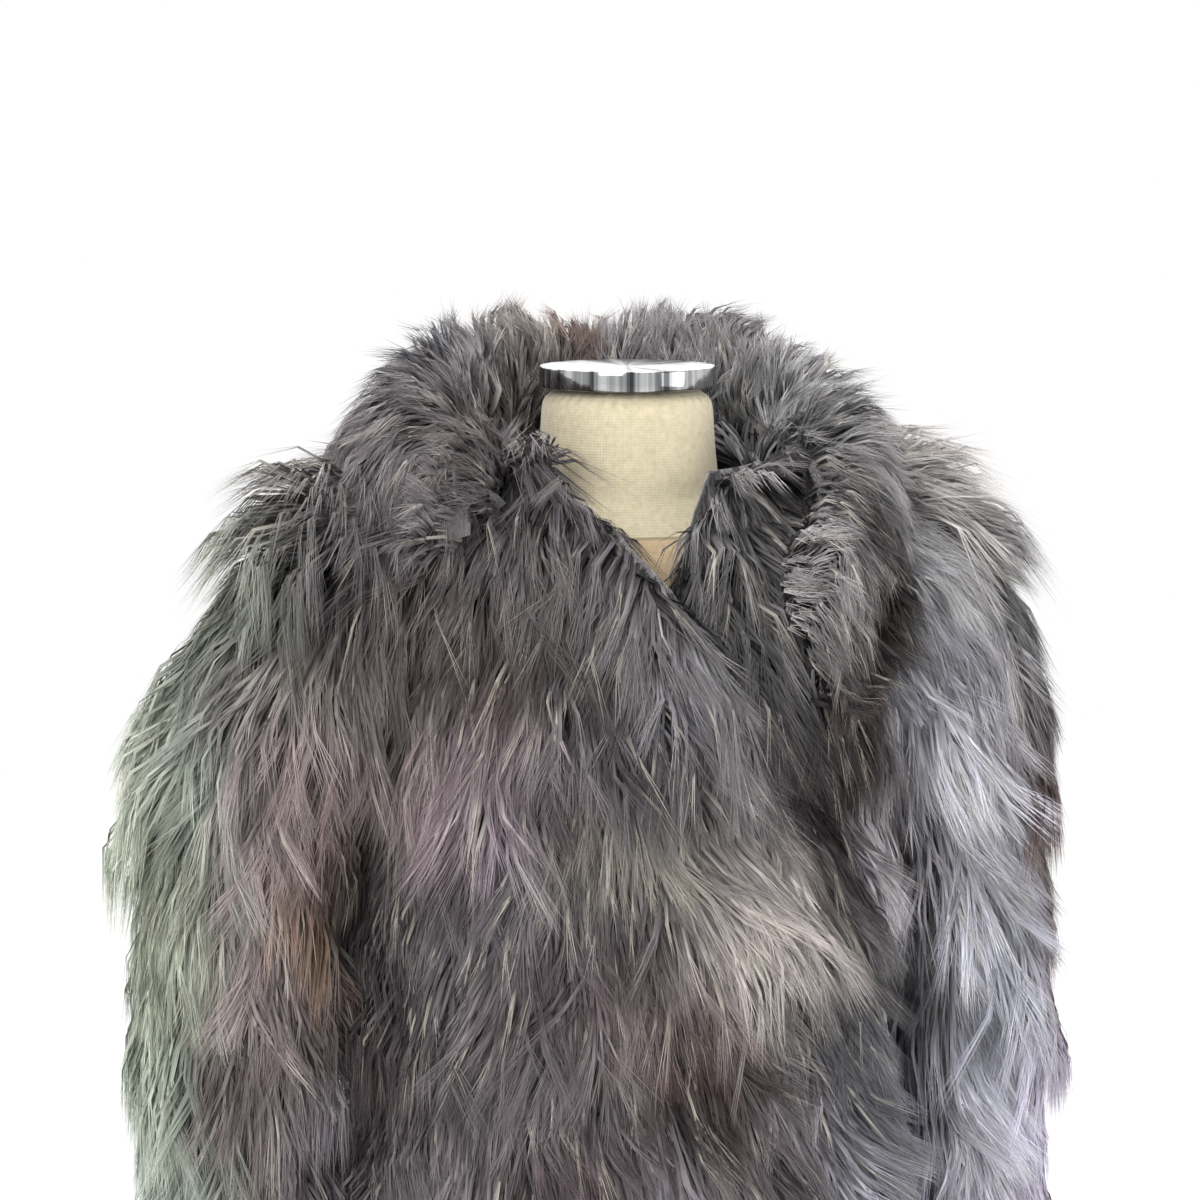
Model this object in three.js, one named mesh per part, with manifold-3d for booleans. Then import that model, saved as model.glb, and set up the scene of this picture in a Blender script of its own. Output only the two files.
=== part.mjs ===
// A long-haired fur coat on a limbless dress form with a round steel stand.
// Millimetres, +Z up, the coat's front towards -Y, origin under the middle of the base plate.
import * as THREE from 'three';
import { mergeVertices } from 'three/addons/utils/BufferGeometryUtils.js';
import Module from 'manifold-3d';

const wasm = await Module();
wasm.setup();

// Driving dimensions
const WALL = 22;              // pelt and the dense underfur on it
const SEAM = 0.3;             // gap left at every seam
const REST_GAP = 0.5;         // clearance where the coat lies on the form's shoulders
const LAP_GAP = 1.2;          // the right front clears the left one by this much more than its wall
const ROUND = 2.3;            // superellipse exponent of the torso sections
const LAP_BLEND = 55;         // width over which the right front rises onto the left one
const LAP_LEAD = 14;          // the rise ends this far before the left front's edge
const NECK_RADIUS = 56;
const CAP_RADIUS = 58.5;
const CAP_HEIGHT = 13.5;
const CAP_BASE = 1486.5;
const POLE_RADIUS = 16;
const FORM_BOTTOM = 850;
const BASE_RADIUS = 185;
const BASE_HEIGHT = 10;
const SOCKET_HEIGHT = 46;
const COLLAR_THICKNESS = 36;
const SWING = { right: 30, left: -4 };   // how far each sleeve hangs out from the drawn line below the armhole

// Skin side of the coat's body, hem to neckline
const BODY = [
  { z: 740, wide: 160, front: 146, back: 138 },
  { z: 860, wide: 158, front: 138, back: 130 },
  { z: 980, wide: 155, front: 128, back: 122 },
  { z: 1100, wide: 153, front: 121, back: 116 },
  { z: 1200, wide: 153, front: 121, back: 116 },
  { z: 1280, wide: 156, front: 118, back: 113 },
  { z: 1330, wide: 156, front: 108, back: 106 },
  { z: 1362, wide: 153, front: 98, back: 98 },
  { z: 1384, wide: 139, front: 89, back: 91 },
  { z: 1398, wide: 112, front: 80, back: 83 },
  { z: 1412, wide: 92, front: 77, back: 78 },
  { z: 1434, wide: 79, front: 75, back: 75 },
];

// Linen-covered form, hip to neck
const FORM = [
  { z: FORM_BOTTOM, wide: 138, front: 102, back: 100 },
  { z: 900, wide: 146, front: 108, back: 106 },
  { z: 980, wide: 136, front: 102, back: 100 },
  { z: 1060, wide: 119, front: 92, back: 88 },
  { z: 1150, wide: 127, front: 99, back: 90 },
  { z: 1240, wide: 140, front: 106, back: 94 },
  { z: 1320, wide: 143, front: 97, back: 92 },
  { z: 1365, wide: 141, front: 84, back: 82 },
  { z: 1386, wide: 133, front: 72, back: 72 },
  { z: 1400, wide: 107, front: 64, back: 64 },
  { z: 1412, wide: 76, front: 59, back: 59 },
  { z: 1426, wide: 60, front: 57, back: 57 },
  { z: 1486, wide: NECK_RADIUS, front: NECK_RADIUS, back: NECK_RADIUS },
];

// Front edges by height: the right front's leading edge and the hidden edge of the left front
const EDGES = [
  { z: 740, over: 128, under: 55 },
  { z: 1040, over: 114, under: 45 },
  { z: 1110, over: 105, under: 38 },
  { z: 1180, over: 88, under: 22 },
  { z: 1230, over: 69, under: 8 },
  { z: 1290, over: 38, under: -6 },
  { z: 1345, over: 4, under: 4 },
  { z: 1380, over: -26, under: 14 },
  { z: 1410, over: -46, under: 24 },
  { z: 1434, over: -60, under: 34 },
];

// Sleeve rings of the wearer's left sleeve: centre, lean of the ring, half sizes across and fore-and-aft
const SLEEVE = [
  { x: 92, y: 4, z: 1346, lean: 66, across: 72, fore: 84 },
  { x: 128, y: 4, z: 1358, lean: 60, across: 77, fore: 88 },
  { x: 165, y: 3, z: 1354, lean: 51, across: 80, fore: 90 },
  { x: 202, y: 1, z: 1312, lean: 34, across: 74, fore: 89 },
  { x: 224, y: -3, z: 1254, lean: 18, across: 66, fore: 86 },
  { x: 236, y: -4, z: 1180, lean: 7, across: 58, fore: 82 },
  { x: 240, y: -4, z: 1080, lean: 1, across: 56, fore: 80 },
  { x: 240, y: -4, z: 960, lean: 0, across: 56, fore: 78 },
  { x: 240, y: -4, z: 835, lean: 0, across: 58, fore: 78 },
];

// Collar leaf by turn from the centre back: root at the neckline, crest of the roll, lower edge of the fall
const COLLAR_LEFT = [
  { turn: 0, rootR: 88, rootZ: 1426, crestR: 112, crestZ: 1490, fallR: 160, fallZ: 1440 },
  { turn: 32, rootR: 88, rootZ: 1426, crestR: 116, crestZ: 1506, fallR: 166, fallZ: 1442 },
  { turn: 74, rootR: 90, rootZ: 1424, crestR: 128, crestZ: 1482, fallR: 180, fallZ: 1424 },
  { turn: 106, rootR: 92, rootZ: 1410, crestR: 136, crestZ: 1456, fallR: 184, fallZ: 1394 },
  { turn: 132, rootR: 102, rootZ: 1380, crestR: 148, crestZ: 1422, fallR: 186, fallZ: 1344 },
  { turn: 153, rootR: 120, rootZ: 1336, crestR: 168, crestZ: 1368, fallR: 188, fallZ: 1290 },
];
const COLLAR_RIGHT = [
  { turn: 0, rootR: 88, rootZ: 1426, crestR: 112, crestZ: 1490, fallR: 160, fallZ: 1440 },
  { turn: 32, rootR: 88, rootZ: 1426, crestR: 116, crestZ: 1502, fallR: 168, fallZ: 1442 },
  { turn: 74, rootR: 90, rootZ: 1422, crestR: 130, crestZ: 1486, fallR: 184, fallZ: 1428 },
  { turn: 102, rootR: 93, rootZ: 1413, crestR: 139, crestZ: 1466, fallR: 186, fallZ: 1412 },
  { turn: 124, rootR: 99, rootZ: 1398, crestR: 143, crestZ: 1440, fallR: 180, fallZ: 1388 },
];

// A smooth value at t along a column of rows, by Catmull-Rom
function along(rows, key, t) {
  const n = rows.length - 1;
  const i = Math.min(Math.floor(t), n - 1);
  const f = t - i;
  const p = [i - 1, i, i + 1, i + 2].map((k) => rows[Math.max(0, Math.min(n, k))][key]);
  const square = f * f;
  return 0.5 * (2 * p[1] + (p[2] - p[0]) * f + (2 * p[0] - 5 * p[1] + 4 * p[2] - p[3]) * square
    + (3 * p[1] - p[0] - 3 * p[2] + p[3]) * square * f);
}

// A value at a height, straight between rows
function atHeight(rows, key, z) {
  const k = rows.findIndex((row) => row.z >= z);
  if (k < 0) return rows[rows.length - 1][key];
  if (k === 0) return rows[0][key];
  const f = (z - rows[k - 1].z) / (rows[k].z - rows[k - 1].z);
  return THREE.MathUtils.lerp(rows[k - 1][key], rows[k][key], f);
}

function power(value) {
  return Math.sign(value) * Math.abs(value) ** (2 / ROUND);
}

// Point on a torso-like surface at t rows up and an angle from +X, before any offset
function torsoBase(rows, t, angle) {
  const side = power(Math.cos(angle));
  const depth = power(Math.sin(angle));
  const reach = depth > 0 ? along(rows, 'back', t) : along(rows, 'front', t);
  return new THREE.Vector3(along(rows, 'wide', t) * side, reach * depth, along(rows, 'z', t));
}

// The same point moved out along the surface's normal
function torsoPoint(rows, t, angle, out) {
  const last = rows.length - 1;
  const point = torsoBase(rows, t, angle);
  const up = torsoBase(rows, Math.min(t + 0.02, last), angle).sub(torsoBase(rows, Math.max(t - 0.02, 0), angle));
  const round = torsoBase(rows, t, angle + 0.03).sub(torsoBase(rows, t, angle - 0.03));
  return point.addScaledVector(round.cross(up).normalize(), out);
}

function geometryOf(points, triangles) {
  const geometry = new THREE.BufferGeometry();
  const flat = points.flatMap((p) => [p.x, p.y, p.z]);
  geometry.setAttribute('position', new THREE.Float32BufferAttribute(flat, 3));
  geometry.setIndex(triangles.flat());
  return geometry;
}

// A closed tube through rings of points, capped by a fan at each end
function loft(rings) {
  const points = rings.flat();
  const around = rings[0].length;
  const triangles = [];
  for (let r = 0; r + 1 < rings.length; r += 1) {
    for (let k = 0; k < around; k += 1) {
      const a = r * around + k;
      const b = r * around + (k + 1) % around;
      triangles.push([a, b, b + around], [a, b + around, a + around]);
    }
  }
  for (const [r, flip] of [[0, true], [rings.length - 1, false]]) {
    const centre = new THREE.Vector3();
    rings[r].forEach((p) => centre.add(p));
    points.push(centre.divideScalar(around));
    for (let k = 0; k < around; k += 1) {
      const a = r * around + k;
      const b = r * around + (k + 1) % around;
      triangles.push(flip ? [b, a, points.length - 1] : [a, b, points.length - 1]);
    }
  }
  return geometryOf(points, triangles);
}

// A wall between two sheets of points, closed round its four edges
function wall(columns, rows, inner, outer) {
  const points = [];
  for (const sheet of [inner, outer]) {
    for (let j = 0; j <= rows; j += 1) {
      for (let i = 0; i <= columns; i += 1) points.push(sheet(i / columns, j / rows));
    }
  }
  const size = (columns + 1) * (rows + 1);
  const at = (i, j) => j * (columns + 1) + i;
  const triangles = [];
  for (let j = 0; j < rows; j += 1) {
    for (let i = 0; i < columns; i += 1) {
      const [a, b, c, d] = [at(i, j), at(i + 1, j), at(i + 1, j + 1), at(i, j + 1)];
      triangles.push([a, c, b], [a, d, c]);
      triangles.push([a + size, b + size, c + size], [a + size, c + size, d + size]);
    }
  }
  const rim = [];
  for (let i = 0; i < columns; i += 1) rim.push(at(i, 0));
  for (let j = 0; j < rows; j += 1) rim.push(at(columns, j));
  for (let i = columns; i > 0; i -= 1) rim.push(at(i, rows));
  for (let j = rows; j > 0; j -= 1) rim.push(at(0, j));
  rim.forEach((a, k) => {
    const b = rim[(k + 1) % rim.length];
    triangles.push([a, b, b + size], [a, b + size, a + size]);
  });
  return geometryOf(points, triangles);
}

function solid(geometry) {
  const bare = geometry.clone();
  bare.deleteAttribute('normal');
  bare.deleteAttribute('uv');
  const merged = mergeVertices(bare);
  const triVerts = new Uint32Array(merged.index.array);
  const vertProperties = new Float32Array(merged.attributes.position.array);
  return new wasm.Manifold(new wasm.Mesh({ numProp: 3, vertProperties, triVerts }));
}

// The largest piece of a solid, so that slivers left by a cut are dropped
function geometryFrom(manifold) {
  const [largest] = manifold.decompose().sort((a, b) => b.volume() - a.volume());
  const mesh = largest.getMesh();
  const geometry = new THREE.BufferGeometry();
  geometry.setAttribute('position', new THREE.Float32BufferAttribute(mesh.vertProperties, 3));
  geometry.setIndex(Array.from(mesh.triVerts));
  return geometry;
}

const LAST_ROW = BODY.length - 1;
const BODY_STEPS = 18;
const smoothStep = THREE.MathUtils.smoothstep;

// How far the right front stands off the body: nothing at the side, a wall's thickness on the left front
function lapOffset(x, z) {
  const under = atHeight(EDGES, 'under', z);
  return (WALL + LAP_GAP) * smoothStep(x, under - LAP_LEAD - LAP_BLEND, under - LAP_LEAD);
}

// Angle on the body's front at which the surface reaches a given x
function frontAngle(t, x) {
  const share = THREE.MathUtils.clamp(x / along(BODY, 'wide', t), -0.98, 0.98);
  const cosine = Math.sign(share) * Math.abs(share) ** (ROUND / 2);
  return 2 * Math.PI - Math.acos(cosine);
}

function bodySolid(out, lapped) {
  const rings = [];
  const around = 44;
  for (let j = 0; j <= BODY_STEPS; j += 1) {
    const t = (j / BODY_STEPS) * LAST_ROW;
    const ring = [];
    for (let k = 0; k < around; k += 1) {
      const angle = (k / around) * 2 * Math.PI;
      const skin = torsoBase(BODY, t, angle);
      const lap = lapped && skin.y < 0 ? lapOffset(skin.x, skin.z) : 0;
      ring.push(torsoPoint(BODY, t, angle, out + lap * smoothStep(-skin.y, 20, 60)));
    }
    rings.push(ring);
  }
  return solid(loft(rings));
}

function sleeveRings(side, out) {
  const steps = 13;
  const around = 20;
  const rings = [];
  for (let j = 0; j <= steps; j += 1) {
    const t = (j / steps) * (SLEEVE.length - 1);
    const lean = THREE.MathUtils.degToRad(along(SLEEVE, 'lean', t));
    const height = along(SLEEVE, 'z', t);
    const swing = (side < 0 ? SWING.right : SWING.left) * (1 - THREE.MathUtils.smoothstep(height, 1200, 1350));
    const ring = [];
    for (let k = 0; k < around; k += 1) {
      const angle = side * (k / around) * 2 * Math.PI;
      const across = (along(SLEEVE, 'across', t) + out) * Math.cos(angle);
      const fore = (along(SLEEVE, 'fore', t) + out) * Math.sin(angle);
      ring.push(new THREE.Vector3(
        side * (along(SLEEVE, 'x', t) + swing + across * Math.cos(lean)),
        along(SLEEVE, 'y', t) + fore,
        height + across * Math.sin(lean),
      ));
    }
    rings.push(ring);
  }
  return rings.reverse();
}

// A ring carried on past the sleeve's head, into the body
function pastHead(rings, side, distance) {
  const lean = THREE.MathUtils.degToRad(SLEEVE[0].lean);
  const past = new THREE.Vector3(-side * Math.sin(lean), 0, Math.cos(lean));
  return rings[rings.length - 1].map((p) => p.clone().addScaledVector(past, distance));
}

// The sleeve's hollow runs a little past the cuff and the head, so that it opens at both
function sleeveHollow(side) {
  const past = 10;
  const rings = sleeveRings(side, -WALL);
  const mouth = rings[0].map((p) => new THREE.Vector3(p.x, p.y, p.z - past));
  return solid(loft([mouth, ...rings, pastHead(rings, side, past)]));
}

const formRings = (out) => {
  const steps = 26;
  const around = 36;
  const rings = [];
  for (let j = 0; j <= steps; j += 1) {
    const t = (j / steps) * (FORM.length - 1);
    const ring = [];
    for (let k = 0; k < around; k += 1) ring.push(torsoPoint(FORM, t, (k / around) * 2 * Math.PI, out));
    rings.push(ring);
  }
  return rings;
};

const bodyHollow = bodySolid(-SEAM, false);
const bodyFilled = bodySolid(WALL + SEAM, true);
const formRoom = solid(loft(formRings(REST_GAP)));

// The room a sleeve needs, carried a little past the sleeve's own head
function armhole(side) {
  const rings = sleeveRings(side, SEAM);
  return solid(loft([...rings, pastHead(rings, side, SEAM)]));
}

const armholes = [armhole(-1), armhole(1)];

// A panel of the body between two angles, with both armholes and the form's shoulders cut clear
function bodyPanel(columns, from, to, liftAt) {
  const sheet = (out) => (u, v) => {
    const t = v * LAST_ROW;
    const angle = THREE.MathUtils.lerp(from(t), to(t), u);
    const skin = torsoBase(BODY, t, angle);
    return torsoPoint(BODY, t, angle, out + liftAt(skin));
  };
  const plain = solid(wall(columns, BODY_STEPS, sheet(0), sheet(WALL)));
  return geometryFrom(armholes.reduce((rest, hole) => rest.subtract(hole), plain).subtract(formRoom));
}

const seamAngle = 0.0011;     // half a seam's gap at the side, as an angle
const noLift = () => 0;
const lapLift = (skin) => lapOffset(skin.x, skin.z) * smoothStep(-skin.y, 20, 60);
const edgeAt = (key) => (t) => frontAngle(t, atHeight(EDGES, key, along(BODY, 'z', t)));

function coatBack() {
  return bodyPanel(22, () => seamAngle, () => Math.PI - seamAngle, noLift);
}

function coatFrontRight() {
  return bodyPanel(20, () => Math.PI + seamAngle, edgeAt('over'), lapLift);
}

function coatFrontLeft() {
  return bodyPanel(14, edgeAt('under'), () => 2 * Math.PI - seamAngle, noLift);
}

function sleeve(side) {
  const tube = solid(loft(sleeveRings(side, 0))).subtract(sleeveHollow(side));
  return geometryFrom(tube.subtract(bodyHollow).subtract(formRoom));
}

// One half of the collar: a thick leaf that stands at the neckline and rolls over outwards
function collar(rows, side) {
  const steps = 12;
  const across = 6;
  const rings = [];
  for (let j = 0; j <= steps; j += 1) {
    const t = (j / steps) * (rows.length - 1);
    const turn = THREE.MathUtils.degToRad(along(rows, 'turn', t));
    const root = new THREE.Vector2(along(rows, 'rootR', t), along(rows, 'rootZ', t));
    const crest = new THREE.Vector2(along(rows, 'crestR', t), along(rows, 'crestZ', t));
    const fall = new THREE.Vector2(along(rows, 'fallR', t), along(rows, 'fallZ', t));
    const control = crest.clone().multiplyScalar(2).sub(root.clone().add(fall).multiplyScalar(0.5));
    const leaf = new THREE.QuadraticBezierCurve(root, control, fall);
    const outline = [];
    for (const face of [1, -1]) {
      for (let k = 0; k <= across; k += 1) {
        const share = face > 0 ? k / across : 1 - k / across;
        const thickness = COLLAR_THICKNESS * (0.42 + 0.58 * Math.sin(Math.PI * share));
        const middle = leaf.getPoint(share);
        const tangent = leaf.getTangent(share);
        const normal = new THREE.Vector2(-tangent.y, tangent.x);
        outline.push(middle.addScaledVector(normal, (face * thickness) / 2));
      }
    }
    rings.push(outline.map((p) => new THREE.Vector3(
      side * (p.x * Math.sin(turn) + SEAM / 2),
      p.x * Math.cos(turn),
      p.y,
    )));
  }
  const wound = side < 0 ? rings : rings.map((ring) => ring.reverse());
  const half = solid(loft(wound));
  return geometryFrom([bodyFilled, formRoom, ...armholes].reduce((rest, tool) => rest.subtract(tool), half));
}

// A turned piece from a list of radius and height pairs
function turned(profile, segments) {
  const outline = profile.map(([radius, height]) => new THREE.Vector2(radius, height));
  return new THREE.LatheGeometry(outline, segments).rotateX(Math.PI / 2);
}

function neckCap() {
  const edge = 1.2;
  return turned([
    [0, 0], [CAP_RADIUS - edge, 0], [CAP_RADIUS, edge], [CAP_RADIUS, CAP_HEIGHT - edge],
    [CAP_RADIUS - edge, CAP_HEIGHT], [0, CAP_HEIGHT],
  ], 48);
}

function standBase() {
  const rim = 2;
  const boss = 34;
  const bossHeight = 14;
  return turned([
    [0, 0], [BASE_RADIUS - rim, 0], [BASE_RADIUS, rim], [BASE_RADIUS, BASE_HEIGHT - rim],
    [BASE_RADIUS - rim, BASE_HEIGHT], [boss, BASE_HEIGHT], [boss - rim, BASE_HEIGHT + bossHeight],
    [0, BASE_HEIGHT + bossHeight],
  ], 64);
}

const POLE_BOTTOM = BASE_HEIGHT + 14 + SEAM;
const POLE_TOP = FORM_BOTTOM - SOCKET_HEIGHT - 2 * SEAM;

function standPole() {
  return turned([[0, 0], [POLE_RADIUS, 0], [POLE_RADIUS, POLE_TOP - POLE_BOTTOM], [0, POLE_TOP - POLE_BOTTOM]], 32);
}

function poleSocket() {
  const radius = 26;
  const flange = 48;
  const flangeHeight = 8;
  return turned([
    [0, 0], [radius, 0], [radius, SOCKET_HEIGHT - flangeHeight], [flange, SOCKET_HEIGHT - flangeHeight],
    [flange, SOCKET_HEIGHT], [0, SOCKET_HEIGHT],
  ], 32);
}

const greyFur = new THREE.MeshStandardMaterial({ color: 0x8d8a96, roughness: 0.9, metalness: 0 });
const sageFur = new THREE.MeshStandardMaterial({ color: 0x9fa791, roughness: 0.9, metalness: 0 });
const linen = new THREE.MeshStandardMaterial({ color: 0xe0d8c8, roughness: 0.85, metalness: 0 });
const steel = new THREE.MeshStandardMaterial({ color: 0xc4c6c8, roughness: 0.22, metalness: 1 });

const part = new THREE.Group();

function add(name, geometry, material, height = 0) {
  const mesh = new THREE.Mesh(geometry, material);
  mesh.name = name;
  mesh.position.z = height;
  part.add(mesh);
}

add('coat_back', coatBack(), greyFur);
add('coat_front_right', coatFrontRight(), greyFur);
add('coat_front_left', coatFrontLeft(), greyFur);
add('sleeve_right', sleeve(-1), sageFur);
add('sleeve_left', sleeve(1), greyFur);
add('collar_right', collar(COLLAR_RIGHT, -1), greyFur);
add('collar_left', collar(COLLAR_LEFT, 1), greyFur);
add('form_torso', loft(formRings(0)), linen);
add('neck_cap', neckCap(), steel, CAP_BASE);
add('pole_socket', poleSocket(), steel, FORM_BOTTOM - SOCKET_HEIGHT - SEAM);
add('stand_pole', standPole(), steel, POLE_BOTTOM);
add('stand_base', standBase(), steel);

export default part;
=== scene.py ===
import math

import bmesh
import bpy
import numpy as np
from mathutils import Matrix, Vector


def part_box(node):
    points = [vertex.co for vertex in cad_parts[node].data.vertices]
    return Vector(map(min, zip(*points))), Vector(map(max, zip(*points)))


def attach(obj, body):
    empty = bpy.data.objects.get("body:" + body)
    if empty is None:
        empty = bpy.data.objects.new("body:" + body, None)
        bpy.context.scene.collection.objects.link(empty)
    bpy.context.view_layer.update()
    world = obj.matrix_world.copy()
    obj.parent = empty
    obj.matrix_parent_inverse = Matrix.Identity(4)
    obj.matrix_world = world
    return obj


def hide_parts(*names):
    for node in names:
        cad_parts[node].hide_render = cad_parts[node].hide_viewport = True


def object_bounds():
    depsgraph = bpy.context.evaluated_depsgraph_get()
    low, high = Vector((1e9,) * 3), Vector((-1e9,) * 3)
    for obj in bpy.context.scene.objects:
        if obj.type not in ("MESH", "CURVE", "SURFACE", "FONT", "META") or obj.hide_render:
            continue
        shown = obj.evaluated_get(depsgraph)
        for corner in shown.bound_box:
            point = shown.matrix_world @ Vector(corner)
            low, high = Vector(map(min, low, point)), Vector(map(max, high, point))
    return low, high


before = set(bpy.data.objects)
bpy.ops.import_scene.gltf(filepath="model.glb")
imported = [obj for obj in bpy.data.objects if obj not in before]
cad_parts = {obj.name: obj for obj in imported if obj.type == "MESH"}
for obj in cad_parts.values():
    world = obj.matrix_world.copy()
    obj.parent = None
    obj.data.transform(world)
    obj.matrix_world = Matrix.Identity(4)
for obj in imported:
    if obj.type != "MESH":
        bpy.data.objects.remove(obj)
cad_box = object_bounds()

# The studio: a pale floor, soft white light from large panels on all sides, and a long lens a little above
# the neck cap, slightly to the wearer's right of the coat's front. Lengths are in metres throughout.
CAP_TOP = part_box("neck_cap")[1][2]
VIEW_TURN = math.radians(-13)
VIEW_DISTANCE = 2.6
VIEW_RISE = 0.19
PICTURE_WIDTH = 0.802
AIM_BELOW_CAP = 0.157
AIM_LEFT = 0.018
SENSOR_WIDTH = 36
FLOOR_SIZE = 14
FLOOR_DROP = 0.0006

bpy.ops.object.select_all(action="DESELECT")
bpy.ops.mesh.primitive_plane_add(size=FLOOR_SIZE, location=(0, 0, -FLOOR_DROP))
floor = bpy.context.object
floor.name = "studio_floor"

ahead = Vector((-math.sin(VIEW_TURN), math.cos(VIEW_TURN), 0))
sideways = Vector((ahead.y, -ahead.x, 0))
aim = Vector((0, 0, CAP_TOP - AIM_BELOW_CAP)) - sideways * AIM_LEFT
eye = aim - ahead * VIEW_DISTANCE
eye.z = CAP_TOP + VIEW_RISE
bpy.ops.object.camera_add(location=eye)
camera = bpy.context.object
camera.rotation_euler = (aim - eye).to_track_quat("-Z", "Y").to_euler()
camera.data.sensor_width = SENSOR_WIDTH
camera.data.lens = SENSOR_WIDTH * (aim - eye).length / PICTURE_WIDTH
bpy.context.scene.camera = camera

CHEST = Vector((0, 0, 1.2))
SOFT_PANELS = (
    # name, place, width, watts
    ("key_panel", (-1.5, -2.2, 2.6), 1.6, 62),
    ("fill_panel", (1.9, -1.7, 1.7), 1.6, 30),
    ("top_panel", (0, 0.2, 3.2), 1.8, 34),
    ("back_panel", (0.4, 2.4, 2.2), 1.8, 34),
)
for name, place, width, watts in SOFT_PANELS:
    bpy.ops.object.light_add(type="AREA", location=place)
    lamp = bpy.context.object
    lamp.name = name
    lamp.data.size = width
    lamp.data.energy = watts
    lamp.rotation_euler = (CHEST - Vector(place)).to_track_quat("-Z", "Y").to_euler()

world = bpy.data.worlds.new("white_studio")
world.use_nodes = True
world.node_tree.nodes["Background"].inputs["Color"].default_value = (1, 1, 1, 1)
world.node_tree.nodes["Background"].inputs["Strength"].default_value = 1.0
bpy.context.scene.world = world
bpy.context.scene.view_settings.view_transform = "Standard"


def linear(hex_code):
    """An sRGB hex colour as linear red, green, blue and alpha."""
    parts = [int(hex_code[i : i + 2], 16) / 255 for i in (0, 2, 4)]
    return tuple(c / 12.92 if c <= 0.04045 else ((c + 0.055) / 1.055) ** 2.4 for c in parts) + (1,)


def add_node(material, kind, links=(), **settings):
    """Adds a node, sets its properties and inputs by name, and links (input, from_node, output) to it."""
    tree = material.node_tree
    node = tree.nodes.new(kind)
    for key, value in settings.items():
        if hasattr(node, key):
            setattr(node, key, value)
        else:
            node.inputs[key.replace("_", " ")].default_value = value
    for name, source, output in links:
        tree.links.new(source.outputs[output], node.inputs[name])
    return node


def new_material(name, colour, roughness, metallic=0.0):
    material = bpy.data.materials.new(name)
    material.use_nodes = True
    shader = material.node_tree.nodes["Principled BSDF"]
    shader.inputs["Base Color"].default_value = linear(colour)
    shader.inputs["Roughness"].default_value = roughness
    shader.inputs["Metallic"].default_value = metallic
    return material, shader


# Matt white paper under the stand, faintly cloudy like real paper. It has a faint glow of its own, so that
# its far edge melts into the white behind it.
PAPER_GLOW = 0.14

paper, paper_shader = new_material("white_paper_sweep", "f4f3f1", 0.9)
place = add_node(paper, "ShaderNodeTexCoord")
cloudy = add_node(paper, "ShaderNodeTexNoise", [("Vector", place, "Object")], Scale=1.5)
shade = add_node(paper, "ShaderNodeValToRGB", [("Fac", cloudy, "Fac")])
shade.color_ramp.elements[0].color = linear("f6f6f5")
shade.color_ramp.elements[1].color = linear("fbfbfa")
paper.node_tree.links.new(shade.outputs["Color"], paper_shader.inputs["Base Color"])
paper_shader.inputs["Emission Color"].default_value = linear("ffffff")
paper_shader.inputs["Emission Strength"].default_value = PAPER_GLOW
floor.data.materials.append(paper)


# The dress form: a smooth moulded torso and neck without limbs, covered in ecru linen. The linen is cut in
# four long panels sewn down the front, back and sides, with one seam round the base of the neck.
MERGE_REACH = 0.00002
LINEN_THREAD = 0.0009
NECK_SEAM = CAP_TOP - 0.108
SEAM_HALF_WIDTH = 0.0009


def copy_of_node(node, name):
    """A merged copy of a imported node's mesh as an object of its own, at the origin."""
    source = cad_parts[node]
    mesh = source.data.copy()
    mesh.transform(source.matrix_world)
    piece = bpy.data.objects.new(name, mesh)
    bpy.context.collection.objects.link(piece)
    mesh.materials.clear()
    shape = bmesh.new()
    shape.from_mesh(mesh)
    bmesh.ops.remove_doubles(shape, verts=shape.verts, dist=MERGE_REACH)
    shape.to_mesh(mesh)
    shape.free()
    return piece


def only(piece):
    bpy.ops.object.select_all(action="DESELECT")
    piece.select_set(True)
    bpy.context.view_layer.objects.active = piece


def apply_modifier(piece, kind, **settings):
    only(piece)
    modifier = piece.modifiers.new(kind.lower(), kind)
    for key, value in settings.items():
        setattr(modifier, key, value)
    bpy.ops.object.modifier_apply(modifier=modifier.name)


form_cover = copy_of_node("form_torso", "linen_form")
apply_modifier(form_cover, "SUBSURF", levels=2, render_levels=2)
only(form_cover)
bpy.ops.object.shade_smooth()

# Unbleached linen, plain woven and starched: matt, with a faint sheen at grazing angles and uneven threads.
# Its threads are half a millimetre thick and drawn nearly twice as coarse, so that the weave shows. One
# stripe of the wave node at this scale is two threads wide, one over and one under.
WEAVE_SCALE = 0.5 / LINEN_THREAD / 3.14

linen, linen_shader = new_material("ecru_linen", "cbbfa2", 0.88)
linen_shader.inputs["Sheen Weight"].default_value = 0.25
linen_shader.inputs["Sheen Roughness"].default_value = 0.5
place = add_node(linen, "ShaderNodeTexCoord")
weft = add_node(linen, "ShaderNodeTexWave", [("Vector", place, "Object")], bands_direction="Z",
                Scale=WEAVE_SCALE, Distortion=0.6, Detail=1.0, Detail_Scale=3.0)
warp = add_node(linen, "ShaderNodeTexWave", [("Vector", place, "Object")], bands_direction="X",
                Scale=WEAVE_SCALE, Distortion=0.6, Detail=1.0, Detail_Scale=3.0)
weave = add_node(linen, "ShaderNodeMath", operation="MULTIPLY")
linen.node_tree.links.new(weft.outputs["Fac"], weave.inputs[0])
linen.node_tree.links.new(warp.outputs["Fac"], weave.inputs[1])
slubs = add_node(linen, "ShaderNodeTexNoise", [("Vector", place, "Object")], Scale=260.0, Detail=5.0)
thread_tone = add_node(linen, "ShaderNodeValToRGB", [("Fac", slubs, "Fac")])
thread_tone.color_ramp.elements[0].position = 0.3
thread_tone.color_ramp.elements[0].color = linear("aca287")
thread_tone.color_ramp.elements[1].position = 0.75
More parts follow.
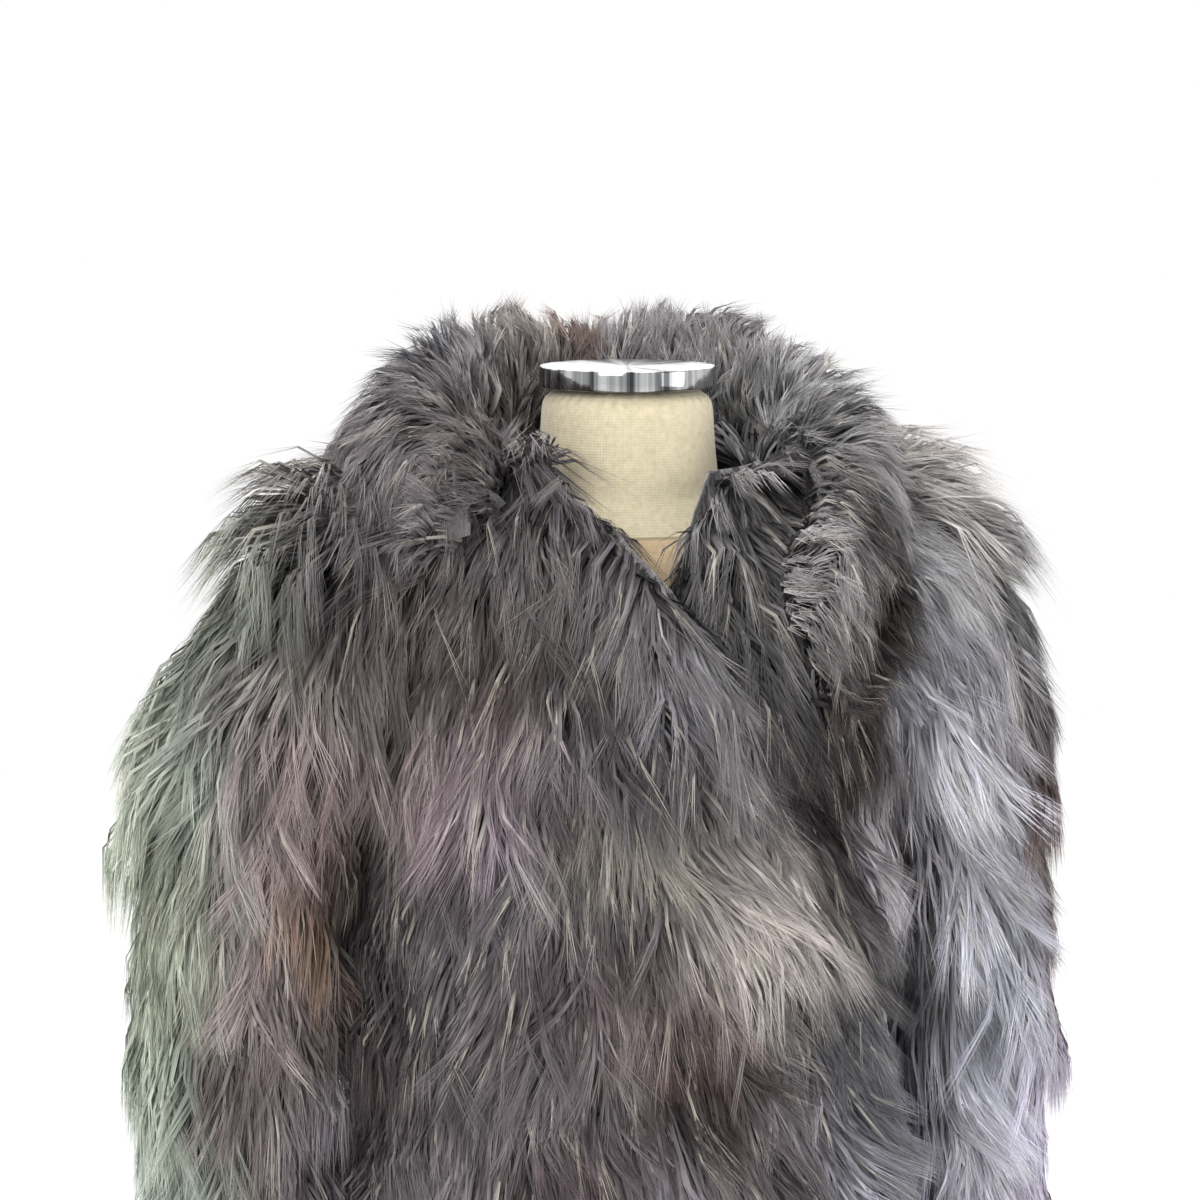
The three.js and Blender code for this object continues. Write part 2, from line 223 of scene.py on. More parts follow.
thread_tone.color_ramp.elements[1].color = linear("bfb59b")
# The cloth below the seam is painted a touch darker and pinker, as painted shade under the fur, and the seam
# itself is a fine dark line
height = add_node(linen, "ShaderNodeSeparateXYZ", [("Vector", place, "Object")])
below_seam = add_node(linen, "ShaderNodeMath", [("Value", height, "Z")], operation="LESS_THAN")
below_seam.inputs[1].default_value = NECK_SEAM
torso_links = [("Fac", below_seam, "Value"), ("Color1", thread_tone, "Color")]
shaded_torso_cloth = add_node(linen, "ShaderNodeMixRGB", torso_links, blend_type="MULTIPLY")
shaded_torso_cloth.inputs["Color2"].default_value = linear("f4e3d6")
at_seam = add_node(linen, "ShaderNodeMath", [("Value", height, "Z")], operation="COMPARE")
at_seam.inputs[1].default_value = NECK_SEAM
at_seam.inputs[2].default_value = SEAM_HALF_WIDTH
seam_links = [("Fac", at_seam, "Value"), ("Color1", shaded_torso_cloth, "Color")]
seamed_cloth = add_node(linen, "ShaderNodeMixRGB", seam_links)
seamed_cloth.inputs["Color2"].default_value = linear("8d8168")
linen.node_tree.links.new(seamed_cloth.outputs["Color"], linen_shader.inputs["Base Color"])
raised = add_node(linen, "ShaderNodeBump", [("Height", weave, "Value")], Strength=0.35, Distance=0.0006)
linen.node_tree.links.new(raised.outputs["Normal"], linen_shader.inputs["Normal"])
form_cover.data.materials.append(linen)
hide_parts("form_torso")
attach(form_cover, "root")


# The neck cap: a turned disc of polished steel screwed to the neck. Its top is fine-turned and its rim is a
# mirror;
# spokes of painted reflection, dark and light, lie in its colour all round.
cap_low, cap_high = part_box("neck_cap")
CAP_RADIUS = (cap_high[0] - cap_low[0]) / 2
CAP_HEIGHT = cap_high[2] - cap_low[2]
CAP_RIM = 0.004
CENTRE_RADIUS = 0.008
CENTRE_DEPTH = 0.0006
CAP_BREAK = 0.0011

bpy.ops.object.select_all(action="DESELECT")
bpy.ops.mesh.primitive_cylinder_add(vertices=128, radius=CAP_RADIUS, depth=CAP_HEIGHT,
                                    location=(0, 0, (cap_low[2] + cap_high[2]) / 2))
cap = bpy.context.object
cap.name = "turned_neck_cap"
bpy.ops.object.transform_apply(location=True, rotation=True, scale=True)
bpy.ops.object.mode_set(mode="EDIT")
bpy.ops.mesh.select_all(action="DESELECT")
edit = bmesh.from_edit_mesh(cap.data)
for face in edit.faces:
    face.select = face.normal.z > 0.9
bmesh.update_edit_mesh(cap.data)
bpy.ops.mesh.inset(thickness=CAP_RIM)
bpy.ops.mesh.inset(thickness=CAP_RADIUS - CAP_RIM - CENTRE_RADIUS, depth=-CENTRE_DEPTH)
bpy.ops.object.mode_set(mode="OBJECT")
apply_modifier(cap, "BEVEL", width=CAP_BREAK, segments=3, limit_method="ANGLE")
bpy.ops.object.shade_smooth_by_angle(angle=math.radians(35))

# Stainless steel, fine-turned and polished, with painted reflection in its colour: dark and light spokes
# round its axis, on the top and the rim, while the rim mirrors the room. The rings are 1.2 mm apart, coarser
# than a lathe's, so that they show.
steel, steel_shader = new_material("polished_turned_steel", "b4b5b7", 0.12, 1.0)
steel_shader.inputs["Anisotropic"].default_value = 0.6
place = add_node(steel, "ShaderNodeTexCoord")
spot_on = add_node(steel, "ShaderNodeVectorMath", [(0, place, "Object")], operation="MULTIPLY")
spot_on.inputs[1].default_value = (1, 1, 0)
round_it = add_node(steel, "ShaderNodeVectorMath", [(0, spot_on, "Vector")], operation="NORMALIZE")
spokes = add_node(steel, "ShaderNodeTexNoise", [("Vector", round_it, "Vector")], Scale=3.2, Detail=5.0,
                  Roughness=0.65)
# Painted reflection: noise by angle round the axis turns the colour from dark to light grey in spokes.
painted_reflection = add_node(steel, "ShaderNodeValToRGB", [("Fac", spokes, "Fac")])
painted_reflection.color_ramp.elements[0].position = 0.40
painted_reflection.color_ramp.elements[0].color = linear("3f4042")
painted_reflection.color_ramp.elements[1].position = 0.58
painted_reflection.color_ramp.elements[1].color = linear("c6c7c8")
steel.node_tree.links.new(painted_reflection.outputs["Color"], steel_shader.inputs["Base Color"])
rings = add_node(steel, "ShaderNodeTexWave", [("Vector", place, "Object")], wave_type="RINGS",
                 rings_direction="Z", Scale=260.0, Distortion=0.3, Detail=2.0)
facing = add_node(steel, "ShaderNodeNewGeometry")
split = add_node(steel, "ShaderNodeSeparateXYZ", [("Vector", facing, "Normal")])
top_only = add_node(steel, "ShaderNodeMapRange", [("Value", split, "Z")])
top_only.inputs["From Min"].default_value = 0.7
top_only.inputs["From Max"].default_value = 0.95
top_only.inputs["To Min"].default_value = 0.09
top_only.inputs["To Max"].default_value = 0.3
steel.node_tree.links.new(top_only.outputs["Result"], steel_shader.inputs["Roughness"])
turned_marks = add_node(steel, "ShaderNodeBump", [("Height", rings, "Fac")], Strength=0.12, Distance=0.0002)
steel.node_tree.links.new(turned_marks.outputs["Normal"], steel_shader.inputs["Normal"])
cap.data.materials.append(steel)
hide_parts("neck_cap")
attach(cap, "root")


# The stand: a satin steel tube in a flanged socket under the form, on a heavy round plate with a boss. Each
# is turned or cut from bar, brushed, and has its edges broken.
STAND_BREAK = 0.0008

# Brushed stainless steel: fine marks round each piece, which blur what it mirrors.
satin, satin_shader = new_material("brushed_stand_steel", "b9bbbd", 0.32, 1.0)
place = add_node(satin, "ShaderNodeTexCoord")
stretch = add_node(satin, "ShaderNodeMapping", [("Vector", place, "Object")])
stretch.inputs["Scale"].default_value = (40, 40, 900)
brush = add_node(satin, "ShaderNodeTexNoise", [("Vector", stretch, "Vector")], Scale=1.0, Detail=3.0)
wear = add_node(satin, "ShaderNodeMapRange", [("Value", brush, "Fac")])
wear.inputs["To Min"].default_value = 0.24
wear.inputs["To Max"].default_value = 0.44
satin.node_tree.links.new(wear.outputs["Result"], satin_shader.inputs["Roughness"])
brushed = add_node(satin, "ShaderNodeBump", [("Height", brush, "Fac")], Strength=0.15, Distance=0.0002)
satin.node_tree.links.new(brushed.outputs["Normal"], satin_shader.inputs["Normal"])

STAND_PIECES = (("stand_base", "base_plate"), ("stand_pole", "pole_tube"), ("pole_socket", "flanged_socket"))
for node, name in STAND_PIECES:
    piece = copy_of_node(node, name)
    only(piece)
    bpy.ops.object.mode_set(mode="EDIT")
    bpy.ops.mesh.select_all(action="SELECT")
    bpy.ops.mesh.dissolve_limited(angle_limit=math.radians(1))
    bpy.ops.object.mode_set(mode="OBJECT")
    apply_modifier(piece, "BEVEL", width=STAND_BREAK, segments=2, limit_method="ANGLE",
                   angle_limit=math.radians(40))
    bpy.ops.object.shade_smooth_by_angle(angle=math.radians(30))
    piece.data.materials.append(satin)
    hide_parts(node)
    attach(piece, "root")


# The pelts: dyed long-haired skins sewn edge to edge, soft side in. Each panel of the coat is one supple
# sheet of skin about 3 mm thick with its short dark underfur; the sleeves are tubes, the collar is doubled.
PELT_DEPTH = 0.010
PELT_THICKNESS = 0.003
PELT_RIPPLE = 0.002
PELT_FACET = 0.028
WALL_REACH = 0.036
RAY_REACH = 0.05
RAY_START = 0.0006
NECK_HALF_WIDTH = 0.12
HEM_HEIGHT = 0.85
RIPPLE_UP = 31
RIPPLE_ACROSS = 17
SHOULDER_START = 1.33
SHOULDER_RISE = 0.12
dice = np.random.default_rng(41)


def mesh_arrays(mesh):
    """Vertices, triangles, triangle centres, normals and areas of a mesh."""
    mesh.calc_loop_triangles()
    verts = np.empty(len(mesh.vertices) * 3)
    mesh.vertices.foreach_get("co", verts)
    verts = verts.reshape(-1, 3)
    tris = np.empty(len(mesh.loop_triangles) * 3, dtype=np.int64)
    mesh.loop_triangles.foreach_get("vertices", tris)
    tris = tris.reshape(-1, 3)
    a, b, c = verts[tris[:, 0]], verts[tris[:, 1]], verts[tris[:, 2]]
    cross = np.cross(b - a, c - a)
    area = np.linalg.norm(cross, axis=1) / 2
    return verts, tris, (a + b + c) / 3, cross / np.maximum(area * 2, 1e-12)[:, None], area


def body_outward(points):
    """From the coat's upright axis outwards, and upwards on the shoulders."""
    away = points * np.array([1, 1, 0])
    away[:, 2] = 0.6 * np.clip((points[:, 2] - SHOULDER_START), 0, SHOULDER_RISE)
    return away


# The middle line of a sleeve, from the cuff to the armhole
SLEEVE_LINE = (
    # height, across, back
    (0.830, 0.240, -0.004),
    (1.080, 0.240, -0.004),
    (1.180, 0.236, -0.004),
    (1.254, 0.224, -0.003),
    (1.312, 0.202, 0.001),
    (1.354, 0.165, 0.003),
)
RIGHT_SWING = 0.030
LEFT_SWING = -0.004
SWING_TOP = 1.35
SWING_HEIGHT = 0.15
ARMHOLE_HEIGHT = 1.32


def sleeve_outward(points):
    """From the middle line of the nearer sleeve outwards."""
    heights, xs, ys = zip(*SLEEVE_LINE)
    z = np.minimum(points[:, 2], ARMHOLE_HEIGHT)
    side = np.sign(points[:, 0])
    low = np.clip((SWING_TOP - z) / SWING_HEIGHT, 0, 1)
    swing = np.where(side < 0, RIGHT_SWING, LEFT_SWING) * low
    middle = np.stack([side * (np.interp(z, heights, xs) + swing), np.interp(z, heights, ys), z], 1)
    return points - middle


def sort_faces(piece, outward):
    """Marks each polygon as fur side (2), rim of the wall (1) or skin side (0)."""
    marks = []
    for face in piece.data.polygons:
        start = face.center - face.normal * RAY_START
        hit, where, _, _ = piece.ray_cast(start, -face.normal, distance=RAY_REACH)
        near = hit and (where - face.center).length < WALL_REACH
        away = np.dot(outward(np.array([face.center[:]]))[0], face.normal[:]) > 0
        at_opening = abs(face.center.x) < NECK_HALF_WIDTH or face.center.z < HEM_HEIGHT
        marks.append(2 if near and away else 1 if not near and at_opening else 0)
    return marks


# Dyed fox underfur: short, dense and dull, darker deep down and lighter where it clumps. Its fibres are
# drawn a few millimetres apart, since single ones are too fine to show.
pelt_material, pelt_shader = new_material("dyed_pelt_underfur", "4a4650", 0.95)
pelt_shader.inputs["Sheen Weight"].default_value = 0.4
pelt_shader.inputs["Sheen Roughness"].default_value = 0.6
place = add_node(pelt_material, "ShaderNodeTexCoord")
down = add_node(pelt_material, "ShaderNodeMapping", [("Vector", place, "Object")])
down.inputs["Scale"].default_value = (1, 1, 0.35)
fluff = add_node(pelt_material, "ShaderNodeTexNoise", [("Vector", down, "Vector")], Scale=420.0, Detail=4.0)
blotch = add_node(pelt_material, "ShaderNodeTexNoise", [("Vector", place, "Object")], Scale=14.0, Detail=3.0)
blend = add_node(pelt_material, "ShaderNodeMath", operation="MULTIPLY")
pelt_material.node_tree.links.new(fluff.outputs["Fac"], blend.inputs[0])
pelt_material.node_tree.links.new(blotch.outputs["Fac"], blend.inputs[1])
underfur_tone = add_node(pelt_material, "ShaderNodeValToRGB", [("Fac", blend, "Value")])
underfur_tone.color_ramp.elements[0].position = 0.12
underfur_tone.color_ramp.elements[0].color = linear("1e1a1b")
underfur_tone.color_ramp.elements[1].position = 0.45
underfur_tone.color_ramp.elements[1].color = linear("474245")
pelt_material.node_tree.links.new(underfur_tone.outputs["Color"], pelt_shader.inputs["Base Color"])
fuzz = add_node(pelt_material, "ShaderNodeBump", [("Height", fluff, "Fac")], Strength=0.8, Distance=0.003)
pelt_material.node_tree.links.new(fuzz.outputs["Normal"], pelt_shader.inputs["Normal"])


def make_pelt(node, name, outward):
    """One panel's skin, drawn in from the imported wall's fur side, and the faces that its hair is set on."""
    pelt = copy_of_node(node, name)
    marks = sort_faces(pelt, outward) if outward else [2] * len(pelt.data.polygons)

    def keep_only(mesh, kept):
        shape = bmesh.new()
        shape.from_mesh(mesh)
        shape.faces.ensure_lookup_table()
        dropped = [face for face, mark in zip(shape.faces, marks) if mark < kept]
        bmesh.ops.delete(shape, geom=dropped, context="FACES")
        shape.to_mesh(mesh)
        shape.free()

    rooted = pelt.data.copy()
    keep_only(rooted, 1)
    roots = mesh_arrays(rooted)
    keep_only(pelt.data, 2)
    shape = bmesh.new()
    shape.from_mesh(pelt.data)
    for _ in range(3):
        long_edges = [edge for edge in shape.edges if edge.calc_length() > PELT_FACET]
        if long_edges:
            bmesh.ops.subdivide_edges(shape, edges=long_edges, cuts=1)
            bmesh.ops.triangulate(shape, faces=[face for face in shape.faces if len(face.verts) > 3])
    shape.normal_update()
    places = []
    for vertex in shape.verts:
        ripple = PELT_RIPPLE * math.sin(RIPPLE_UP * vertex.co.z + RIPPLE_ACROSS * vertex.co.x)
        places.append(vertex.co - vertex.normal * (PELT_DEPTH + ripple))
    for vertex, place in zip(shape.verts, places):
        vertex.co = place
    shape.to_mesh(pelt.data)
    shape.free()
    if outward:
        apply_modifier(pelt, "SOLIDIFY", thickness=PELT_THICKNESS, offset=-1.0)
    only(pelt)
    bpy.ops.object.shade_smooth()
    pelt.data.materials.append(pelt_material)
    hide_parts(node)
    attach(pelt, "root")
    return pelt, roots


# The guard hair: silky hair 45 to 80 mm long, dark at the root and pale at the tip, dyed in soft patches of
# lilac grey, mauve brown, sage and chocolate, and brushed so that it falls in overlapping tiers and locks.
# One blade stands for several hairs: a ribbon that is set in the pelt and split into four fine tips.
STEPS = np.array([0.0, 0.24, 0.50, 1.0])
TIPS = 4
BLADE_WIDTH = 0.0025
TIP_SPREAD = 0.0026
TIP_SCATTER = 0.0022
LOCK_SIZE = 0.015
TUFT_SIZE = 0.038
TIER_HEIGHT = 0.158
TIER_FOOT = 0.66
TIER_MIDDLE = 0.55
COLLAR_TIER = 0.7
HAIR_LIFT = 0.021
MOST_LIFT = 0.046
SHOULDER_LIFT = 0.8
COLLAR_LIFT = 0.75
ROOT_DEPTH = 0.011
DROOP = 0.16
CURL_WIDTH = 0.0035
CURL_TURNS = 9.5
COLLAR_CURL = 0.2
LOCK_PULL = 0.42
COLLAR_LOCK_PULL = 0.26
TUFT_PULL = 0.16
ROOT_SHADE = 0.18
TIP_GAIN = 1.22

# Where the hair is brushed: place, how far it reaches, and the direction it takes there
FLOW = (
    # x, y, z, reach, along x, along y, along z
    (0.02, -0.18, 1.17, 0.15, 0.80, 0.0, -0.72),
    (0.05, -0.18, 1.02, 0.16, 0.52, 0.0, -0.88),
    (-0.12, -0.15, 1.20, 0.13, -0.12, 0.0, -1.0),
    (-0.17, -0.10, 1.10, 0.09, -0.35, -0.1, -0.9),
    (-0.12, -0.15, 0.98, 0.15, 0.10, 0.0, -1.0),
    (-0.03, -0.17, 1.34, 0.09, 0.40, 0.0, -0.92),
    (-0.10, -0.06, 1.42, 0.09, -0.45, -0.30, -0.25),
    (-0.20, -0.04, 1.38, 0.09, -0.60, -0.20, -0.75),
    (-0.28, -0.04, 1.30, 0.08, -0.35, -0.10, -0.95),
    (-0.28, -0.05, 1.08, 0.20, -0.22, -0.03, -0.97),
    (-0.21, -0.05, 1.06, 0.05, 0.55, -0.25, -0.90),
    (0.05, -0.12, 1.40, 0.06, -0.35, -0.40, 0.20),
    (0.05, -0.16, 1.33, 0.06, -0.10, -0.30, -0.60),
    (0.13, -0.08, 1.42, 0.08, 0.75, -0.20, -0.10),
    (0.22, -0.05, 1.38, 0.09, 0.75, -0.15, -0.60),
    (0.25, -0.04, 1.12, 0.20, 0.28, -0.05, -0.95),
    (0.14, -0.12, 1.00, 0.10, 0.10, 0.0, -1.0),
    (0.00, 0.15, 1.36, 0.12, 0.0, 0.25, -0.95),
    (-0.10, 0.14, 1.10, 0.18, -0.16, 0.05, -0.98),
    (0.10, 0.14, 1.10, 0.18, 0.20, 0.05, -0.98),
)

# Patches of colour, as place, size each way, sRGB colour and strength. Later ones lie over earlier ones. Most
# are dye; the few marked below are painted shade.
PATCHES = (
    # x, y, z, width, depth, height, colour, strength
    (-0.320, 0.03, 1.10, 0.050, 0.16, 0.32, "9fa696", 0.95),
    (-0.285, 0.00, 1.32, 0.060, 0.14, 0.09, "969b8e", 0.85),
    (-0.320, 0.02, 0.93, 0.050, 0.16, 0.14, "8f9689", 0.85),
    (-0.235, -0.08, 1.16, 0.020, 0.08, 0.10, "9a7f68", 0.85),
    (-0.230, -0.08, 1.24, 0.040, 0.10, 0.06, "847a7b", 0.70),
    (-0.240, -0.07, 1.02, 0.030, 0.08, 0.08, "7d7376", 0.60),
    (-0.170, -0.12, 1.33, 0.060, 0.08, 0.05, "504746", 0.75),
    (-0.130, -0.14, 1.23, 0.055, 0.10, 0.06, "7b6e74", 0.75),
    (-0.070, -0.15, 1.36, 0.070, 0.10, 0.05, "585557", 0.65),
    (-0.040, -0.17, 1.20, 0.050, 0.08, 0.030, "a9a395", 0.50),
    (-0.080, -0.16, 1.11, 0.070, 0.09, 0.05, "574b4c", 0.75),
    (-0.100, -0.15, 1.00, 0.070, 0.09, 0.06, "6f6769", 0.55),
    (0.060, -0.18, 1.13, 0.045, 0.09, 0.07, "8f8a88", 0.80),
    (0.050, -0.18, 0.97, 0.060, 0.08, 0.05, "5b5051", 0.65),
    (0.020, -0.18, 0.90, 0.080, 0.08, 0.06, "86848f", 0.60),
    (0.060, -0.14, 1.36, 0.055, 0.09, 0.07, "7b7a7c", 0.85),
    (0.170, -0.10, 1.16, 0.060, 0.10, 0.16, "8a898f", 0.80),
    (0.190, -0.09, 0.98, 0.070, 0.10, 0.14, "8c8b95", 0.85),
    (0.210, -0.06, 1.32, 0.060, 0.10, 0.07, "7f7d7f", 0.70),
    (0.285, -0.02, 1.16, 0.030, 0.12, 0.06, "6b5552", 0.85),
    (0.285, -0.02, 1.06, 0.030, 0.12, 0.06, "94858a", 0.70),
    (0.270, -0.04, 0.96, 0.050, 0.12, 0.07, "a09eb6", 0.75),
    # Painted shade in the valley of the collar behind the neck
    (-0.015, 0.10, 1.49, 0.016, 0.10, 0.09, "4a3731", 0.95),
    (-0.060, 0.10, 1.49, 0.035, 0.10, 0.05, "827e7c", 0.70),
    (0.060, 0.10, 1.49, 0.060, 0.10, 0.05, "7f7d7e", 0.60),
    (-0.120, 0.02, 1.46, 0.050, 0.08, 0.04, "6c6665", 0.60),
    (-0.080, 0.15, 1.18, 0.070, 0.10, 0.12, "6a5e62", 0.70),
    (0.090, 0.15, 1.05, 0.070, 0.10, 0.12, "7f828c", 0.70),
    (0.030, 0.16, 1.30, 0.080, 0.10, 0.06, "8f8d86", 0.60),
    (0.000, 0.15, 0.90, 0.090, 0.10, 0.08, "54494a", 0.60),
    (0.205, -0.07, 1.10, 0.056, 0.12, 0.27, "aaa9b1", 0.80),
    (0.150, -0.12, 0.98, 0.050, 0.10, 0.09, "a2a1aa", 0.80),
    (0.235, -0.04, 1.40, 0.070, 0.12, 0.05, "a9a7a6", 0.80),
    (0.120, 0.00, 1.45, 0.070, 0.12, 0.05, "989695", 0.75),
    (-0.262, -0.10, 1.12, 0.032, 0.05, 0.22, "7a6d6c", 0.85),
    # Painted shade in the gap between the body and the right sleeve
    (-0.205, -0.10, 1.18, 0.032, 0.10, 0.08, "463a39", 0.85),
    (-0.190, -0.11, 1.02, 0.032, 0.10, 0.14, "4a3e3f", 0.80),
    (-0.065, -0.17, 0.985, 0.040, 0.09, 0.055, "403436", 0.85),
    (0.010, -0.18, 1.055, 0.040, 0.08, 0.040, "352727", 0.92),
    # Painted shade along the lower edge of the tier over the right shoulder
    (-0.110, -0.13, 1.31, 0.030, 0.08, 0.025, "3a302f", 0.75),
    (0.268, -0.05, 1.20, 0.022, 0.08, 0.035, "4a3533", 0.85),
    # Painted shadow between the lapel of the right front and the body
    (0.140, -0.12, 1.340, 0.034, 0.12, 0.080, "1f1716", 1.00),
    (0.116, -0.14, 1.250, 0.034, 0.12, 0.060, "221919", 0.97),
)

# The right front's leading edge, from the hem up to the collar
FRONT_EDGE = (
    # height, across
    (0.740, 0.128),
    (1.040, 0.114),
    (1.110, 0.105),
    (1.180, 0.088),
    (1.230, 0.069),
    (1.290, 0.038),
    (1.345, 0.004),
    (1.380, -0.026),
    (1.434, -0.060),
)
WARM_GREY = linear("646063")[:3]
PALE_HAIR = linear("c4beb0")[:3]
PALE_SHARE = 0.10


def waves(points, seed, size):
    """Smooth noise from -1 to 1 whose swells are about size across."""
    chance = np.random.default_rng(seed)
    total = np.zeros(len(points))
    for _ in range(6):
        heading = chance.normal(size=3)
        heading *= 2 * math.pi / (size * chance.uniform(1.4, 3.2) * np.linalg.norm(heading))
        total += np.sin(points @ heading + chance.uniform(0, 2 * math.pi))
    return total / 3.4


def unit(vectors):
    return vectors / np.maximum(np.linalg.norm(vectors, axis=1), 1e-9)[:, None]


def near(points, place, reach):
    """1 at a place, falling smoothly to nothing beyond its reach along each axis."""
    return np.exp(-np.sum(((points - place) / reach) ** 2, axis=1))


def brushed_direction(points, normals):
    """How hair lies on body and sleeves: down, slightly outwards, and along the nearest brush strokes."""
    flow = np.tile(np.array([0.0, 0.0, -0.35]), (len(points), 1))
    flow += np.stack([0.06 * np.sign(points[:, 0]), points[:, 1] * 0, points[:, 2] * 0], 1)
    for x, y, z, reach, dx, dy, dz in FLOW:
        gap = np.linalg.norm(points - (x, y, z), axis=1) / reach
        flow += np.exp(-gap * gap)[:, None] * np.array([dx, dy, dz])
    flow[:, 0] += 0.16 * waves(points, 5, 0.09)
    flow[:, 1] += 0.10 * waves(points, 6, 0.09)
    flow -= normals * np.sum(flow * normals, axis=1)[:, None]
    return unit(flow)


def collar_direction(points, normals):
    """Up from the neckline on the inner side, over the crest, and outwards and down on the fall."""
    away = unit(points * np.array([1, 1, 0]))
    facing = np.sum(normals * away, axis=1)
    front = np.clip(-points[:, 1] / 0.12, 0, 1)
    flow = away * 0.75
    flow[:, 2] = np.where(facing < 0.1, 1.0, 0.15 - 0.9 * np.clip(facing, 0, 1)) - 0.8 * front
    flow[:, 0] += 0.22 * waves(points, 8, 0.07)
    flow[:, 1] += 0.22 * waves(points, 9, 0.07)
    flow -= normals * np.sum(flow * normals, axis=1)[:, None]
    return unit(flow)


def clump_mean(values, group, count):
    """The mean place of each clump."""
    sums = np.stack([np.bincount(group, values[:, k], count) for k in range(3)], 1)
    return sums / np.maximum(np.bincount(group, minlength=count), 1)[:, None]


def groups_of(points, size, seed):
    """Numbers the locks: roots in the same wavering cell belong together."""
    shift = np.stack([waves(points, seed + k, size * 3) for k in range(3)], 1) * size * 0.6
    cells = np.floor((points + shift + 10) / size).astype(np.int64)
    key = cells[:, 0] * 4_000_000 + cells[:, 1] * 2_000 + cells[:, 2]
    _, group = np.unique(key, return_inverse=True)
    return group.ravel(), int(group.max()) + 1


def fur_colour(points, group, count, tier):
    """Each hair's colour: its dye and painted shade, darker at the top of its tier under the edge of the tier
    above, and along the lapped edge.
    """
    tint = np.tile(np.array(WARM_GREY), (len(points), 1))
    wander = points + 0.014 * np.stack([waves(points, 21 + k, 0.05) for k in range(3)], 1)
    for x, y, z, width, depth, height, code, strength in PATCHES:
        gap = (wander - (x, y, z)) / (1.15 * width, depth, 1.15 * height)
        share = strength * np.exp(-np.sum(gap * gap, axis=1) ** 2)
        tint += (np.array(linear(code)[:3]) - tint) * share[:, None]
    warm = 0.5 + 0.5 * waves(points, 31, 0.10)
    tint *= 1 + np.stack([0.10 * (warm - 0.5), 0 * warm, -0.10 * (warm - 0.5)], 1)
    lock_tone = dice.uniform(0.76, 1.24, count)[group]
    own_tone = np.exp(dice.normal(0, 0.15, len(points)))
    pale = dice.random(len(points)) < PALE_SHARE
    depths = 1 + 0.38 * waves(points, 33, 0.040) + 0.28 * waves(points, 34, 0.09)
    # Painted shade: hairs on the left front along the right front's lapped edge, and hairs at the top of each
    # tier, under the tier above, are drawn darker.
    seam_side = points[:, 0] - np.interp(points[:, 2], *zip(*FRONT_EDGE))
    on_left_front = (points[:, 1] < -0.05) * (seam_side > -0.002)
    under_lap = np.exp(-((seam_side - 0.014) / 0.024) ** 2) * on_left_front
    tone = lock_tone * own_tone * (0.74 + 0.48 * tier) * depths * (1 - 0.60 * under_lap)
    tint *= np.clip(tone, 0.3, 1.9)[:, None]
    tint[pale] = tint[pale] * 0.62 + np.array(PALE_HAIR) * 0.38
    return tint


# Dyed fox guard hair: smooth and silky, so each blade has a soft narrow gloss, and streaked lengthwise
# because single hairs in it differ. The streaks are two to a blade, coarser than hairs, so that they show.
fur_material, fur_shader = new_material("silky_dyed_guard_hair", "8f8d98", 0.42)
fur_shader.inputs["Specular IOR Level"].default_value = 0.14
hair_tint = add_node(fur_material, "ShaderNodeVertexColor", layer_name="HairTint")
hair_map = add_node(fur_material, "ShaderNodeUVMap", uv_map="Hair")
strand_streaks = add_node(fur_material, "ShaderNodeTexNoise", [("Vector", hair_map, "UV")],
                          Scale=1.0, Detail=1.0)
streak_tone = add_node(fur_material, "ShaderNodeMapRange", [("Value", strand_streaks, "Fac")])
streak_tone.inputs["From Min"].default_value = 0.3
streak_tone.inputs["From Max"].default_value = 0.7
streak_tone.inputs["To Min"].default_value = 0.6
streak_tone.inputs["To Max"].default_value = 1.35
streaked = add_node(fur_material, "ShaderNodeVectorMath", operation="MULTIPLY")
fur_material.node_tree.links.new(hair_tint.outputs["Color"], streaked.inputs[0])
fur_material.node_tree.links.new(streak_tone.outputs["Result"], streaked.inputs[1])
fur_material.node_tree.links.new(streaked.outputs["Vector"], fur_shader.inputs["Base Color"])

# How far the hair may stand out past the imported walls, along each axis
PROUD = np.array([0.0268, 0.0203, 0.045])
fur_low = np.array(cad_box[0]) - PROUD
fur_high = np.array(cad_box[1]) + PROUD


def sow_roots(faces, strands, weight):
    """Root places and skin normals, spread by chance over the faces as thickly as the weight says."""
    verts, tris, centres, normals, area = faces
    share = area * weight(centres, normals)
    picked = dice.choice(len(tris), strands, p=share / share.sum())
    u, v = dice.random((2, strands))
    fold = u + v > 1
    u[fold], v[fold] = 1 - u[fold], 1 - v[fold]
    corner = verts[tris[picked]]
    first_side = (corner[:, 1] - corner[:, 0]) * u[:, None]
    second_side = (corner[:, 2] - corner[:, 0]) * v[:, None]
    return corner[:, 0] + first_side + second_side, normals[picked]


def tier_of(spot):
    """Where each root sits in its tier: 1 at the tier's lower edge, down to 0 at its top."""
    height = spot[:, 2] + 0.040 * waves(spot, 2, 0.13) + 0.22 * np.abs(spot[:, 0] - 0.05)
    tier = 1 - np.mod((height - TIER_FOOT) / TIER_HEIGHT, 1)
    return TIER_MIDDLE + (tier - TIER_MIDDLE) * np.clip(0.75 + 0.5 * waves(spot, 3, 0.12), 0.2, 1)


